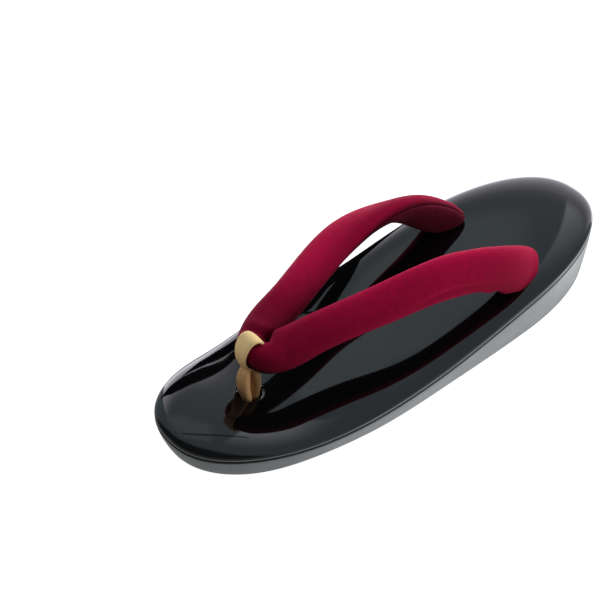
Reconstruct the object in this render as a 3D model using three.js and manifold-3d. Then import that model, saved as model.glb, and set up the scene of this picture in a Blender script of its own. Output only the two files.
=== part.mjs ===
// Zori sandal: a low wedge sole, a domed glossy footbed, a padded V strap and a cloth toe thong.
// Millimetres, +Z up, toe towards -Y, heel towards +Y, standing on the floor at z = 0.
import * as THREE from "three";
import { mergeVertices } from "three/addons/utils/BufferGeometryUtils.js";
import Module from "manifold-3d";

const wasm = await Module();
wasm.setup();

// Sole and footbed sizes
const LENGTH = 240;
const HALF_LENGTH = LENGTH / 2;
const RING_REACH = 42; // inset, in mm, at which a ring of the outline shrinks to the middle line
const TOE_ROUND = { reach: 0.35, power: 2.34 };
const HEEL_ROUND = { reach: 0.29, power: 2.29 };
const TOE_SPRING = 6.3;
const SPRING_START_Y = -60;
const DOME_POWER = 3.27;
const SEAM_GAP = 0.3; // between footbed and sole, and wherever two pieces meet
const LIP_HEIGHT = 0.9;
const LIP_ROUND = 0.5;
const LIP_INSET = 0.1;
const FLOOR_EDGE_ROUND = 1.4;
const FLOOR_EDGE_MIDDLE = 0.4; // height and inset of the floor edge's middle ring
const WALL_BULGE = 0.25;
const UNDERSIDE_SHARE = 0.55; // ring that divides the flat underside
const SIDE_STEPS = 46; // outline points along each side
const DOME_ANGLES = [90, 71, 54, 40, 29, 20, 12, 5, 0];
const SEAM_SHARES = [0, 0.3, 0.6, 0.82]; // rings over the seam between footbed and sole

// Half width, height of the seam above the floor, dome height and inset of the floor edge, toe to heel
const LAST_SECTIONS = [
  { y: -120, halfWidth: 38.2, seam: 16.4, dome: 5.9, floorInset: 2.0 },
  { y: -96, halfWidth: 37.9, seam: 12.4, dome: 5.9, floorInset: 1.3 },
  { y: -72, halfWidth: 37.5, seam: 8.1, dome: 4.9, floorInset: 0.6 },
  { y: -36, halfWidth: 39.8, seam: 8.1, dome: 4.6, floorInset: 0.2 },
  { y: 0, halfWidth: 39.8, seam: 9.9, dome: 5.0, floorInset: 0.1 },
  { y: 36, halfWidth: 39.1, seam: 15.7, dome: 5.1, floorInset: 0.2 },
  { y: 72, halfWidth: 37.3, seam: 20.8, dome: 5.2, floorInset: 0.4 },
  { y: 120, halfWidth: 35.2, seam: 25.1, dome: 5.5, floorInset: 1.2 },
];

// Strap: one leg from the toe joint to the footbed. Tilt 0 lies flat and 90 stands on its edge.
// Lean moves both legs towards +X, and roll turns the faces of both towards +X.
const STRAP_SECTIONS = [
  { x: -2.5, y: -76.2, z: 35.0, tilt: 0, halfWidth: 4.2, halfThick: 6.3, lean: -1.7, roll: 0 },
  { x: 4.0, y: -72.7, z: 34.2, tilt: 14, halfWidth: 6.7, halfThick: 6.2, lean: -2.0, roll: 4 },
  { x: 7.2, y: -65.1, z: 34.9, tilt: 14, halfWidth: 8.3, halfThick: 5.7, lean: -2.4, roll: 12 },
  { x: 9.6, y: -55.5, z: 36.5, tilt: 9, halfWidth: 8.1, halfThick: 5.2, lean: -3.0, roll: 20 },
  { x: 12.9, y: -42.2, z: 38.9, tilt: 6, halfWidth: 8.2, halfThick: 4.9, lean: -3.7, roll: 25 },
  { x: 20.4, y: -16.1, z: 42.6, tilt: 15, halfWidth: 8.6, halfThick: 4.8, lean: -4.7, roll: 22 },
  { x: 24.6, y: 8.5, z: 44.8, tilt: 36, halfWidth: 9.0, halfThick: 5.0, lean: -4.0, roll: 14 },
  { x: 25.5, y: 31.0, z: 40.7, tilt: 57, halfWidth: 9.2, halfThick: 5.4, lean: -1.2, roll: 5 },
  { x: 24.3, y: 46.6, z: 32.6, tilt: 65, halfWidth: 9.8, halfThick: 5.5, lean: 1.4, roll: 0 },
  { x: 23.0, y: 55.2, z: 28.0, tilt: 68, halfWidth: 9.5, halfThick: 5.4, lean: 2.2, roll: 0 },
  { x: 22.2, y: 60.2, z: 26.2, tilt: 68, halfWidth: 8.0, halfThick: 4.6, lean: 2.5, roll: 0 },
  { x: 21.9, y: 62.4, z: 25.5, tilt: 68, halfWidth: 5.6, halfThick: 3.2, lean: 2.6, roll: 0 },
  { x: 21.8, y: 63.2, z: 25.3, tilt: 68, halfWidth: 2.0, halfThick: 1.2, lean: 2.6, roll: 0 },
];
const STRAP_ROUNDNESS = 2.6;
const STRAP_SEAT_DEPTH = 4; // how far under the seam the strap's ends are cut away
const STRAP_SIDES = 20;
const STRAP_STEPS_PER_SECTION = 3;
const PEG = { x: 24.3, y: 55, radius: 3.8, bottom: 1.1, top: 9, sides: 16 }; // heights over the seam
const PEG_HOLE_OVERSHOOT = 8; // how many clearances a peg's hole runs past it

// Toe thong: a cloth band looped over the strap's joint, with two strands down into the toe hole
const LOOP_CENTRE = { x: -2.6, y: -75.7, z: 35.4 };
const LOOP_HALF_DEPTH = 4.9;
const LOOP_HALF_HEIGHT = 7.9;
const LOOP_BAND = { topHalfWidth: 4.3, waistHalfWidth: 2.6, halfThick: 0.95 };
const LOOP_STEPS = 28;
const BAND_SIDES = 10;
const BAND_ROUNDNESS = 3.2;
const FRONT_STRAND = [
  { x: -2.1, y: -78.4, z: 29.4, halfWidth: 2.6, halfThick: 1.4 },
  { x: -1.5, y: -80.2, z: 25.0, halfWidth: 3.4, halfThick: 1.9 },
  { x: -0.9, y: -81.1, z: 20.1, halfWidth: 3.5, halfThick: 2.0 },
  { x: -0.2, y: -80.4, z: 14.5, halfWidth: 3.0, halfThick: 1.8 },
  { x: 0, y: -80.2, z: 9.8, halfWidth: 2.8, halfThick: 1.7 },
];
const REAR_STRAND = [
  { x: -1.7, y: -76.2, z: 28.6, halfWidth: 2.6, halfThick: 1.4 },
  { x: -0.5, y: -75.3, z: 25.0, halfWidth: 2.9, halfThick: 1.6 },
  { x: 0.1, y: -75.7, z: 20.1, halfWidth: 2.9, halfThick: 1.7 },
  { x: 0.2, y: -76.7, z: 14.5, halfWidth: 2.7, halfThick: 1.6 },
  { x: 0, y: -76.8, z: 9.8, halfWidth: 2.6, halfThick: 1.6 },
];
const STRAND_STEPS_PER_SECTION = 2;
const TOE_HOLE = { y: -78.7, halfWidth: 4.3, halfLength: 5.2, depth: 15, sides: 24 };

// Smooth value of one column of a section table at a place along its key column
function column(rows, key, name, at) {
  const finalSpan = rows.length - 2;
  const found = rows.findIndex((row, i) => i <= finalSpan && at <= rows[i + 1][key]);
  const i = found < 0 ? finalSpan : found;
  const [a, b] = [rows[i], rows[i + 1]];
  const before = rows[Math.max(i - 1, 0)];
  const after = rows[Math.min(i + 2, finalSpan + 1)];
  const span = b[key] - a[key];
  const s = (at - a[key]) / span;
  const slopeA = (span * (b[name] - before[name])) / (b[key] - before[key]);
  const slopeB = (span * (after[name] - a[name])) / (after[key] - a[key]);
  const rise = 3 * s * s - 2 * s * s * s;
  const curveA = s * (1 - s) * (1 - s);
  const curveB = s * s * (s - 1);
  return a[name] + (b[name] - a[name]) * rise + slopeA * curveA + slopeB * curveB;
}

const last = (name, y) => column(LAST_SECTIONS, "y", name, y);

// Rounded end of the outline: 1 along the side, falling to 0 at the tip
function endRound(distance, { reach, power }) {
  const inside = Math.min(distance / reach, 1);
  return Math.pow(1 - Math.pow(1 - inside, power), 1 / power);
}

function halfWidth(y) {
  const t = 0.5 + y / LENGTH;
  return last("halfWidth", y) * endRound(t, TOE_ROUND) * endRound(1 - t, HEEL_ROUND);
}

function floorHeight(y) {
  const rise = Math.max(0, (SPRING_START_Y - y) / (SPRING_START_Y + HALF_LENGTH));
  return TOE_SPRING * rise * rise;
}

// Outline stations: up the +X side from toe to heel and back down the -X side
function outlineStations() {
  const stations = [];
  for (let i = 0; i <= SIDE_STEPS; i += 1) {
    stations.push({ y: -HALF_LENGTH * Math.cos((Math.PI * i) / SIDE_STEPS), side: 1 });
  }
  for (let i = SIDE_STEPS - 1; i > 0; i -= 1) {
    stations.push({ y: stations[i].y, side: -1 });
  }
  return stations;
}

// One ring round the last: share 1 is the outline and 0 the middle line
function lastRing(share, height) {
  return outlineStations().map(({ y, side }) => {
    const kept = typeof share === "function" ? share(y) : share;
    const ringY = y * (1 - ((1 - kept) * RING_REACH) / HALF_LENGTH);
    return new THREE.Vector3(side * halfWidth(y) * kept, ringY, height(ringY, y));
  });
}

// Closed skin over a row of rings with equal counts, with optional flat ends or a joined tail
function skin(rings, { capped = false, looped = false } = {}) {
  const count = rings[0].length;
  const positions = rings.flat().flatMap((p) => p.toArray());
  const index = [];
  const links = looped ? rings.length : rings.length - 1;
  for (let r = 0; r < links; r += 1) {
    const a = r * count;
    const b = ((r + 1) % rings.length) * count;
    for (let i = 0; i < count; i += 1) {
      const j = (i + 1) % count;
      index.push(a + i, b + i, b + j, a + i, b + j, a + j);
    }
  }
  if (capped) {
    const tail = (rings.length - 1) * count;
    for (let i = 1; i < count - 1; i += 1) {
      index.push(0, i, i + 1, tail, tail + i + 1, tail + i);
    }
  }
  const geometry = new THREE.BufferGeometry();
  geometry.setAttribute("position", new THREE.Float32BufferAttribute(positions, 3));
  geometry.setIndex(index);
  return geometry;
}

function toSolid(geometry) {
  const bare = geometry.clone();
  bare.deleteAttribute("normal");
  bare.deleteAttribute("uv");
  const merged = mergeVertices(bare, 1e-4);
  const source = merged.getIndex().array;
  const corners = [];
  for (let i = 0; i < source.length; i += 3) {
    const [a, b, c] = [source[i], source[i + 1], source[i + 2]];
    if (a !== b && b !== c && c !== a) corners.push(a, b, c);
  }
  const mesh = new wasm.Mesh({
    numProp: 3,
    vertProperties: new Float32Array(merged.getAttribute("position").array),
    triVerts: new Uint32Array(corners),
  });
  mesh.merge();
  return new wasm.Manifold(mesh);
}

function toGeometry(solid) {
  const mesh = solid.getMesh();
  const geometry = new THREE.BufferGeometry();
  geometry.setAttribute("position", new THREE.Float32BufferAttribute(mesh.vertProperties, 3));
  geometry.setIndex(Array.from(mesh.triVerts));
  geometry.computeVertexNormals();
  return geometry;
}

// Upright round or oval post between two heights
function post(x, y, bottom, top, radiusX, radiusY, sides) {
  const geometry = new THREE.CylinderGeometry(1, 1, top - bottom, sides);
  geometry.rotateX(Math.PI / 2);
  geometry.scale(radiusX, radiusY, 1);
  geometry.translate(x, y, (top + bottom) / 2);
  return toSolid(geometry);
}

// Sole: flat top under the footbed, a small groove edge, a wall leaning in, a rounded floor edge
function makeSole() {
  const inset = (mm) => 1 - mm / RING_REACH;
  const top = (y) => last("seam", y) - SEAM_GAP / 2;
  const floorEdge = (extra) => (y) => inset(last("floorInset", y) + extra);
  const wall = (down, extra) => [
    (y) => inset(down * last("floorInset", y) + extra),
    (ringY, y) => {
      const low = floorHeight(y) + FLOOR_EDGE_ROUND;
      const high = top(y) - LIP_ROUND;
      return high + (low - high) * down;
    },
  ];
  const rings = [
    ...SEAM_SHARES.map((share) => lastRing(share, top)),
    lastRing(inset(LIP_ROUND), (ringY, y) => top(y)),
    lastRing(...wall(0, 0)),
    lastRing(...wall(0.5, -WALL_BULGE)),
    lastRing(...wall(1, 0)),
    lastRing(floorEdge(FLOOR_EDGE_MIDDLE), (ringY, y) => floorHeight(y) + FLOOR_EDGE_MIDDLE),
    lastRing(floorEdge(FLOOR_EDGE_ROUND), (ringY, y) => floorHeight(y)),
    lastRing(UNDERSIDE_SHARE, floorHeight),
    lastRing(0, floorHeight),
  ];
  return toSolid(skin(rings));
}

// Footbed: domed cap with a lip at its edge. Grow swells it evenly, to cut seats with clearance,
// and sink lowers its underside.
function footbedBlank(grow, sink = grow) {
  const inset = (mm) => 1 - (mm - grow) / RING_REACH;
  const rings = DOME_ANGLES.map((degrees) => {
    const angle = THREE.MathUtils.degToRad(degrees);
    const share = Math.pow(Math.max(Math.cos(angle), 0), 2 / DOME_POWER);
    const rise = Math.pow(Math.max(Math.sin(angle), 0), 2 / DOME_POWER);
    const height = (y) => last("seam", y) + LIP_HEIGHT + grow + last("dome", y) * rise;
    return lastRing(share * inset(0), height);
  });
  const under = (y) => last("seam", y) + SEAM_GAP / 2 - sink;
  rings.push(lastRing(inset(LIP_INSET), (ringY, y) => last("seam", y) + LIP_ROUND - grow));
  rings.push(lastRing(inset(LIP_ROUND), (ringY, y) => under(y)));
  rings.push(...SEAM_SHARES.map((share) => lastRing(share, under)).reverse());
  return toSolid(skin(rings));
}

// Closed skin of rounded flat sections along a path. Over is each section's thin direction.
function sweep(sections, sides, power, { looped = false } = {}) {
  const count = sections.length;
  const round = (value) => Math.sign(value) * Math.pow(Math.abs(value), 2 / power);
  const neighbour = (i) => (looped ? (i + count) % count : Math.min(Math.max(i, 0), count - 1));
  const rings = sections.map(({ centre, over, halfWidth: wide, halfThick: thick }, i) => {
    const along = sections[neighbour(i + 1)].centre.clone().sub(sections[neighbour(i - 1)].centre);
    along.normalize();
    const thin = over.clone().addScaledVector(along, -over.dot(along)).normalize();
    const across = along.clone().cross(thin);
    return Array.from({ length: sides }, (unused, step) => {
      const angle = (2 * Math.PI * step) / sides;
      const point = centre.clone().addScaledVector(across, wide * round(Math.cos(angle)));
      return point.addScaledVector(thin, thick * round(Math.sin(angle)));
    });
  });
  return toSolid(skin(rings, { capped: !looped, looped }));
}

// Rows of a table worked out at even steps between its sections
function stepped(rows, stepsPerSection) {
  const numbered = rows.map((row, order) => ({ ...row, order }));
  const names = Object.keys(rows[0]);
  const steps = (rows.length - 1) * stepsPerSection;
  return Array.from({ length: steps + 1 }, (unused, i) => {
    const at = i / stepsPerSection;
    return Object.fromEntries(names.map((name) => [name, column(numbered, "order", name, at)]));
  });
}

function strapLeg(side) {
  const rows = stepped(STRAP_SECTIONS, STRAP_STEPS_PER_SECTION);
  const sections = rows.map((row) => {
    const turn = THREE.MathUtils.degToRad(side * row.tilt + row.roll);
    return {
      ...row,
      centre: new THREE.Vector3(side * row.x + row.lean, row.y, row.z),
      over: new THREE.Vector3(Math.sin(turn), 0, Math.cos(turn)),
    };
  });
  return sweep(sections, STRAP_SIDES, STRAP_ROUNDNESS);
}

// Pegs of the strap's ends, and with grow the holes they sit in
function pegs(grow) {
  const bottom = last("seam", PEG.y) + PEG.bottom - grow * PEG_HOLE_OVERSHOOT;
  const top = last("seam", PEG.y) + PEG.top + grow * PEG_HOLE_OVERSHOOT;
  const radius = PEG.radius + grow;
  const lean = column(STRAP_SECTIONS, "y", "lean", PEG.y);
  const [right, left] = [1, -1].map((side) => {
    return post(side * PEG.x + lean, PEG.y, bottom, top, radius, radius, PEG.sides);
  });
  return right.add(left);
}

// Toe thong. Grow swells it evenly, to cut its seat in the strap.
function makeThong(grow) {
  const loop = Array.from({ length: LOOP_STEPS }, (unused, i) => {
    const angle = (2 * Math.PI * i) / LOOP_STEPS;
    const [depth, rise] = [Math.cos(angle), Math.sin(angle)];
    const share = (1 + rise) / 2;
    const wide = LOOP_BAND.waistHalfWidth + (LOOP_BAND.topHalfWidth - LOOP_BAND.waistHalfWidth) * share;
    return {
      centre: new THREE.Vector3(
        LOOP_CENTRE.x,
        LOOP_CENTRE.y + LOOP_HALF_DEPTH * depth,
        LOOP_CENTRE.z + LOOP_HALF_HEIGHT * rise,
      ),
      over: new THREE.Vector3(0, depth / LOOP_HALF_DEPTH, rise / LOOP_HALF_HEIGHT),
      halfWidth: wide + grow,
      halfThick: LOOP_BAND.halfThick + grow,
    };
  });
  const strands = [FRONT_STRAND, REAR_STRAND].map((rows) => {
    const sections = stepped(rows, STRAND_STEPS_PER_SECTION).map((row) => ({
      centre: new THREE.Vector3(row.x, row.y, row.z),
      over: new THREE.Vector3(0, 1, 0),
      halfWidth: row.halfWidth + grow,
      halfThick: row.halfThick + grow,
    }));
    return sweep(sections, BAND_SIDES, BAND_ROUNDNESS);
  });
  const band = sweep(loop, BAND_SIDES, BAND_ROUNDNESS, { looped: true });
  return band.add(strands[0]).add(strands[1]);
}

function makeFootbed() {
  const low = last("seam", TOE_HOLE.y) - LIP_HEIGHT;
  const high = low + TOE_HOLE.depth;
  const { y, halfWidth: wide, halfLength: long, sides } = TOE_HOLE;
  return footbedBlank(0).subtract(post(0, y, low, high, wide, long, sides)).subtract(pegs(SEAM_GAP));
}

// Strap: both legs joined at the toe, seated on the footbed and hollowed where the thong grips it
function makeStrap() {
  const legs = strapLeg(1).add(strapLeg(-1));
  const seat = footbedBlank(SEAM_GAP, STRAP_SEAT_DEPTH);
  return legs.subtract(seat).subtract(makeThong(SEAM_GAP)).add(pegs(0));
}

const FINISHES = {
  sole: { colour: 0x9a9c9e, roughness: 0.4 },
  footbed: { colour: 0x050506, roughness: 0.06 },
  strap: { colour: 0x8c0f36, roughness: 0.85 },
  toe_thong: { colour: 0xa78e66, roughness: 0.9 },
};

const SOLIDS = {
  sole: makeSole(),
  footbed: makeFootbed(),
  strap: makeStrap(),
  toe_thong: makeThong(0),
};

const sandal = new THREE.Group();
sandal.name = "zori_sandal";
for (const [name, solid] of Object.entries(SOLIDS)) {
  const { colour, roughness } = FINISHES[name];
  const material = new THREE.MeshStandardMaterial({ color: colour, roughness, metalness: 0 });
  const piece = new THREE.Mesh(toGeometry(solid), material);
  piece.name = name;
  sandal.add(piece);
}

export default sandal;
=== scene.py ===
"""Models a zori sandal: satin wedge sole, mirror-gloss footbed, padded cloth strap and toe thong."""

import math

import bmesh
import bpy
import numpy as np
from bpy.props import FloatProperty, FloatVectorProperty, PointerProperty
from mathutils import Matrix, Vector


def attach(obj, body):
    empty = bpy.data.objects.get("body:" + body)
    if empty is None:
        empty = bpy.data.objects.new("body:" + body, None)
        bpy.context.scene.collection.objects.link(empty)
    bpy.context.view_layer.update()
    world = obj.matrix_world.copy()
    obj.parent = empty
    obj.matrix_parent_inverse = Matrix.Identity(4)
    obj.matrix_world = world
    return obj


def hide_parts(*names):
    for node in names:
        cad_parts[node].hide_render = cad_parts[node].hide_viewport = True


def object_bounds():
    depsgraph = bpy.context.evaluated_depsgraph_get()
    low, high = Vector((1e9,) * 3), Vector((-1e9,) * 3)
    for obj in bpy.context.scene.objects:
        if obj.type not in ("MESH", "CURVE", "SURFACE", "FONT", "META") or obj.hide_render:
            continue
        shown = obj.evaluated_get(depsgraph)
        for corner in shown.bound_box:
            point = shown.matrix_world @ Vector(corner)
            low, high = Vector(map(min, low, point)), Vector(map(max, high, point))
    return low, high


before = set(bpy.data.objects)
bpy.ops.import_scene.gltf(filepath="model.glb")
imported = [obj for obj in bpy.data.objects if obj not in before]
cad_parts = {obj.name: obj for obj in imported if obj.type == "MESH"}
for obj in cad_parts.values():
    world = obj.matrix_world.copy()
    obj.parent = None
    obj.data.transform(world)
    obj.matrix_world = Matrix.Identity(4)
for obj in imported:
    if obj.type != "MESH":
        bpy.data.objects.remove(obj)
CAD_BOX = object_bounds()

bl_info = {
    "name": "Zori Sandal",
    "version": (1, 0, 0),
    "blender": (4, 5, 0),
    "location": "View3D > Sidebar > Zori",
    "description": "Models a zori sandal around its packed frame and lights it on a pale floor",
    "category": "Object",
}

MM = 0.001
BODY = "root"


class Table:
    """Rows with named columns, read as smooth curves along the key column or else the row count."""

    def __init__(self, columns, *rows, key=None):
        self.values = dict(zip(columns.split(), np.array(rows, float).T))
        self.key = self.values[key] if key else np.arange(len(rows), dtype=float)
        self.slopes = {name: self.even_slopes(value) for name, value in self.values.items()}

    def even_slopes(self, value):
        """Slope at each row that leaves no break in the curve's bend."""
        steps = np.diff(self.key)
        rises = np.diff(value) / steps
        system = np.diag(np.full(len(value), 2.0))
        right = np.zeros(len(value))
        system[0, 1], right[0] = 1, 3 * rises[0]
        system[-1, -2], right[-1] = 1, 3 * rises[-1]
        for i in range(1, len(value) - 1):
            before, after = steps[i - 1], steps[i]
            system[i, i - 1 : i + 2] = after, 2 * (before + after), before
            right[i] = 3 * (after * rises[i - 1] + before * rises[i])
        return np.linalg.solve(system, right)

    def at(self, name, where):
        key, value, slope = self.key, self.values[name], self.slopes[name]
        low = np.clip(np.searchsorted(key, where) - 1, 0, len(key) - 2)
        span = key[low + 1] - key[low]
        part = (where - key[low]) / span
        rise = (value[low + 1] - value[low]) * (3 * part**2 - 2 * part**3)
        bend = slope[low] * part * (1 - part) ** 2 + slope[low + 1] * part**2 * (part - 1)
        return value[low] + rise + span * bend

    def sampled(self, steps):
        """Places along the rows, so many steps for each row, and all the columns there."""
        at = np.arange((len(self.key) - 1) * steps + 1) / steps
        return at, {name: self.at(name, at) for name in self.values}


# Last of the sandal, in millimetres: toe towards -Y, heel towards +Y
LENGTH = (CAD_BOX[1].y - CAD_BOX[0].y) / MM
HALF_LENGTH = LENGTH / 2
RING_REACH = 42.0
TOE_ROUND = (0.35, 2.34)
HEEL_ROUND = (0.29, 2.29)
TOE_SPRING = 6.3
SPRING_START_Y = -60.0
DOME_POWER = 3.27
SEAM_GAP = 0.3
LIP_HEIGHT = 0.9
LIP_ROUND = 0.5
FLOOR_EDGE_ROUND = 1.4
WALL_BULGE = 0.25
LAST = Table(
    "y half_width seam dome floor_inset crown",
    (-120, 38.2, 16.4, 5.9, 2.0, 2.8),
    (-96, 37.9, 12.4, 5.9, 1.3, 2.7),
    (-72, 37.5, 8.1, 4.9, 0.6, 2.6),
    (-36, 39.8, 8.1, 4.6, 0.2, 2.8),
    (0, 39.8, 9.9, 5.0, 0.1, 3.1),
    (36, 39.1, 15.7, 5.1, 0.2, 3.3),
    (72, 37.3, 20.8, 5.2, 0.4, 3.3),
    (120, 35.2, 25.1, 5.5, 1.2, 3.3),
    key="y",
)
OUTLINE_POINTS = 320
OUTLINE_GIRTH = 560.0
FLAT_SHARE = 0.6
FLAT_RINGS = 14
SHOULDER_RINGS = 20
WALL_RINGS = 9
EDGE_RINGS = 5
SEAM_SHARES = (0.82, 0.6, 0.3, 0.0)
ABOVE_LIP = -10.0
MERGE_GAP = 0.001

# Toe hole: a soft rim that sinks into a well, as shares of the hole's size and drops
TOE_HOLE = {"y": -78.7, "half_width": 4.3, "half_length": 5.2}
HOLE_OPENING = 1.5
HOLE_RIM = ((1.36, 0.0), (1.2, 0.12), (1.08, 0.55), (1.0, 1.4), (0.96, 3.0), (0.94, 5.5))
TOP_FACE_RISE = 0.5

# Strap legs from the toe joint to the footbed. Tilt 0 lies flat and 90 stands on its edge. Lean
# moves both legs towards +X, and roll turns the faces of both towards +X.
STRAP_COLUMNS = "x y z tilt half_width half_thick lean roll"
STRAP_FRONT = (
    (-4.6, -77.3, 35.2, 0, 1.2, 2.0, -1.7, 0),
    (-3.9, -76.9, 35.1, 0, 2.6, 4.4, -1.7, 0),
    (-2.2, -76.0, 35.0, 0, 3.7, 6.0, -1.8, 0),
    (4.0, -72.7, 34.2, 14, 6.0, 6.2, -1.6, 4),
    (7.2, -65.1, 34.9, 14, 8.3, 5.7, -2.4, 12),
    (9.6, -55.5, 36.5, 9, 8.5, 5.2, -3.3, 20),
    (12.9, -42.2, 38.9, 6, 8.2, 4.9, -3.7, 25),
    (20.4, -16.1, 42.6, 15, 8.6, 4.8, -4.7, 22),
    (24.6, 8.5, 44.8, 36, 9.0, 5.0, -4.0, 14),
)
STRAP_REAR = {
    1: (
        (25.5, 30.6, 40.6, 57, 9.5, 5.4, -0.7, 5),
        (24.3, 46.0, 33.4, 65, 10.5, 5.5, 2.2, 0),
        (23.0, 55.0, 28.2, 68, 10.2, 5.4, 2.4, 0),
        (22.3, 60.6, 26.0, 68, 8.8, 4.9, 2.5, 0),
        (22.0, 63.4, 25.0, 68, 6.2, 3.7, 2.6, 0),
        (21.9, 64.7, 24.7, 68, 3.6, 2.1, 2.6, 0),
        (21.9, 65.1, 24.6, 68, 1.2, 0.8, 2.6, 0),
    ),
    -1: (
        (25.5, 31.5, 40.8, 57, 9.0, 5.5, -1.6, 6),
        (24.3, 47.3, 31.4, 65, 9.2, 5.4, 0.6, 0),
        (23.2, 54.5, 26.3, 68, 8.8, 4.8, 1.8, 0),
        (22.6, 58.4, 24.6, 68, 7.2, 3.8, 2.4, 0),
        (22.4, 60.8, 23.6, 68, 5.0, 2.6, 2.5, 0),
        (22.3, 61.9, 23.2, 68, 2.6, 1.4, 2.6, 0),
        (22.3, 62.2, 23.0, 68, 0.8, 0.5, 2.6, 0),
    ),
}
STRAP_ROUNDNESS = 2.6
STRAP_SIDES = 64
STRAP_STEPS = 8
STRAP_GIRTH = 44.0
BOTTOM_SIDE = 48
LINING_SIDES = (34, 61)
SEAM_GROOVE = {"depth": 0.45, "sides": 0.8, "full_half_thick": 5.0}
PUCKER = {"depth": 0.14, "spacing": 3.4, "sides": 3.0}

# Creases of each leg: row and side of the middle, half lengths along the rows and
# round the sides, depth in millimetres (below 0 for a ridge) and sides of slant for each row
CREASES = {
    1: (
        (3.5, 31, 0.36, 7.0, 2.8, 0),
        (4.2, 29, 0.22, 4.0, -0.7, 0),
        (3.9, 12, 0.3, 3.0, 0.5, 6),
        (7.85, 17, 0.16, 2.2, -0.3, 9),
        (6.6, 48, 2.0, 9.0, -1.9, 0),
        (8.1, 8, 0.75, 2.6, 1.4, 0),
        (8.2, 2, 0.7, 1.6, -0.7, 0),
        (9.1, 0, 0.2, 4.0, -1.3, 0),
        (9.46, 0, 0.14, 3.5, 0.6, 0),
        (9.8, 0, 0.22, 4.0, -1.0, 0),
        (9.75, 5, 0.13, 1.4, 0.6, 0),
    ),
    -1: (
        (3.65, 3, 0.42, 6.0, 2.2, 0),
        (3.45, 15, 0.2, 7.5, 1.0, 0),
        (3.95, 15, 0.22, 7.0, -0.4, 0),
        (5.3, 4, 0.6, 2.2, 0.4, 0),
        (9.55, 43, 0.28, 5.0, -0.7, 0),
        (9.1, 45, 0.25, 4.0, 0.6, 3),
        (10.5, 38, 0.4, 2.0, 0.4, 0),
    ),
}

# Toe thong: a cloth band looped over the strap's joint, with two strands down into the toe hole
LOOP_CENTRE = (-2.6, -75.7, 35.4)
LOOP_HALF_DEPTH = 4.9
LOOP_HALF_HEIGHT = 7.9
LOOP_BAND = {"top": 4.3, "waist": 2.5, "half_thick": 0.95}
LOOP_STEPS = 72
BAND_SIDES = 24
BAND_ROUNDNESS = 2.8
STRAND_COLUMNS = "x y z half_width half_thick"
FRONT_STRAND = Table(
    STRAND_COLUMNS,
    (-2.1, -78.2, 30.2, 2.2, 1.4),
    (-1.9, -78.9, 28.2, 2.3, 1.6),
    (-1.5, -80.2, 25.0, 3.3, 1.9),
    (-0.9, -81.1, 20.1, 3.6, 2.0),
    (-0.3, -80.8, 16.0, 3.2, 1.9),
    (0.0, -80.3, 11.0, 2.8, 1.7),
)
REAR_STRAND = Table(
    STRAND_COLUMNS,
    (-1.8, -76.5, 29.4, 2.2, 1.4),
    (-1.4, -76.0, 27.8, 2.4, 1.5),
    (-0.5, -75.4, 25.0, 2.9, 1.6),
    (0.1, -75.7, 20.1, 2.9, 1.7),
    (0.2, -76.4, 16.0, 2.8, 1.6),
    (0.0, -76.8, 11.0, 2.6, 1.6),
)
STRAND_STEPS = 6
THONG_VOXEL = 0.32
THONG_SMOOTH = {"factor": 0.5, "iterations": 6}

# Zones of the finishes and of the painted light and shade, as the places where a soft step starts
# and ends. Turns are shares of the way round the strap from its bottom, and the others are millimetres.
# Painted highlight along the footbed's lip
LIP_HIGHLIGHT = (-1.3, -0.8)
# Painted shade in the groove under the footbed's lip, fading out down the wall
GROOVE_SHADE_FADE = (0.4, 1.7)
# Painted light and shade on the strap's cloth
PAINTED_LIGHT_TURN = {"lower_edge": (0.2, 0.29), "crotch_shade": (0.3, 0.6), "back": (0.32, 0.72)}
PAINTED_LIGHT_ALONG = {"toe": (0, 70), "far_arch_light": (30, 60, 80, 115), "near_rear_shade": (90, 130)}
PAINTED_LIGHT_X = {"far_to_near": (-4, 4), "near": (5, 15)}
CROTCH_SHADE_Y = (-55, -5)
# Painted sheen on the lining towards its rear ends
LINING_SHEEN_ALONG = (80, 115)
# Painted shade on the thong's rear strand, under the strap
REAR_STRAND_SHADE_Y = (-79, -76.5)
STRANDS_TO_BAND_Z = (26, 40)
RIB_PITCH = 0.9
THREAD_PITCH = 0.5

# Lightness of the painted light and shade on the strap's cloth at the start and end of each zone
PAINTED_LIGHT_LEVEL = {
    "toe": (0.5, 1.35),
    "back": (0.76, 1.61),
    "crotch_shade": (1.0, 0.5),
    "near_rear_shade": (1.0, 0.63),
    "far_arch_light": (1.0, 1.22),
}

# Grain of the finishes: scale to the metre and detail, with stretches for grain that runs one way
GRAIN = {
    "coat_waviness": (26.0, 1.0),
    "lip_highlight_breakup": (400.0, 3.0),
    "wall_streaks": (1.0, 3.0),
    "wall_clouds": (90.0, 3.0),
    "strap_mottle": (420.0, 4.0),
    "strap_fine": (1800.0, 2.0),
    "lining_nap": (900.0, 3.0),
    "lining_clouds": (120.0, 2.0),
    "thong_ribs": (1.0, 2.0),
    "thong_clouds": (420.0, 4.0),
}
STREAK_STRETCH = (40.0, 1500.0, 1.0)
THONG_RIB_STRETCH = (2600.0, 2600.0, 350.0)

# Floor, in millimetres, and the sheet under it that throws light up: a little everywhere, more behind
# a slanting line, and more in the zones beside the sandal and at its heel
FLOOR_SIZE = 40000.0
FLOOR_GREY = (0.4, 0.4, 0.405, 1)
BOUNCE_HEIGHT = -0.2
BOUNCE_EVERYWHERE = 0.36
BOUNCE_SLANT = 0.8
BOUNCE_BEHIND = (20, 160)
BOUNCE_ZONES = (
    {"x": (20, 60, 100, 200), "y": (-100, -30, 140, 260), "glow": 0.75},
    {"x": (30, 50, 120, 200), "y": (70, 110, 200, 300), "glow": 1.2},
)

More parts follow.
